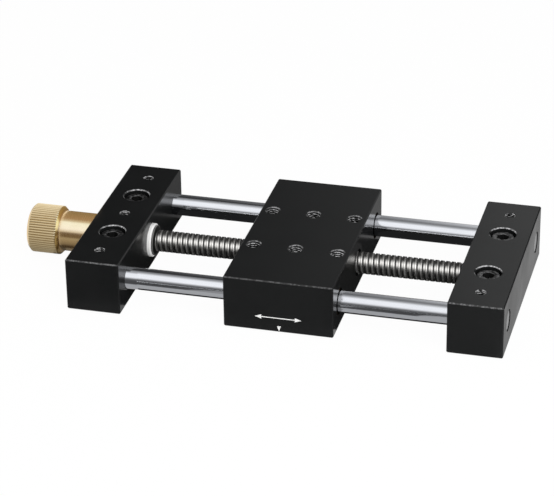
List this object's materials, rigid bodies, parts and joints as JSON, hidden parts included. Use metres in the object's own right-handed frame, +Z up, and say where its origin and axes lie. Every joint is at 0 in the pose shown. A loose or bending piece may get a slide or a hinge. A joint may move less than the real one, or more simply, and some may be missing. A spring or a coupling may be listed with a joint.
{
  "type": "manual linear stage",
  "caption": "Manual linear stage: a carriage on round guide rods between end blocks, moved by a lead screw with a knurled knob.",
  "frame": {"origin": "midway between the two end blocks, on the plane that both blocks stand on, at the centre of the pattern of their four base screws", "axes": "+X along the travel from the knob to the far end, +Y across the stage towards the back, +Z up, out of the carriage's top"},
  "size_m": [0.185, 0.08, 0.0204],
  "materials": {
    "black_anodised_aluminium": "black anodised, fine satin",
    "polished_rod": "ground and hard chromed",
    "stainless_screw": "rolled stainless thread",
    "brass": "turned and knurled",
    "bronze": "sintered bronze bush",
    "black_oxide_steel": "black oxide",
    "white_plastic": "moulded acetal"
  },
  "bodies": {
    "frame": {"knob_end_block": "black_anodised_aluminium", "far_end_block": "black_anodised_aluminium", "front_guide_rod": "polished_rod", "rear_guide_rod": "polished_rod", "mounting_screws": "black_oxide_steel", "knob_end_rod_clamp_screws": "black_oxide_steel", "far_end_rod_clamp_screws": "black_oxide_steel", "bush_lock_screw": "black_oxide_steel", "knob_end_bush": "white_plastic", "far_end_bush": "white_plastic"},
    "screw": {"lead_screw": "stainless_screw", "inner_thrust_washer": "white_plastic", "outer_thrust_washer": "white_plastic", "knob": "brass", "knob_set_screw": "black_oxide_steel"},
    "carriage": {"carriage_block": "black_anodised_aluminium", "knob_side_guide_bushes": "bronze", "far_side_guide_bushes": "bronze", "lead_nut": "brass", "nut_lock_screw": "black_oxide_steel"}
  },
  "joints": [
    {"name": "screw_spin", "type": "hinge", "parent": "frame", "child": "screw", "pos_m": [0, 0, 0.01], "axis": [1, 0, 0], "range_deg": [-7092, 6408]},
    {"name": "carriage_slide", "type": "slide", "parent": "frame", "child": "carriage", "axis": [1, 0, 0], "range_m": [-0.0356, 0.0394]}
  ],
  "couplings": [
    {"joint": "screw_spin", "follows": "carriage_slide", "rad_per_m": -3141.6}
  ]
}
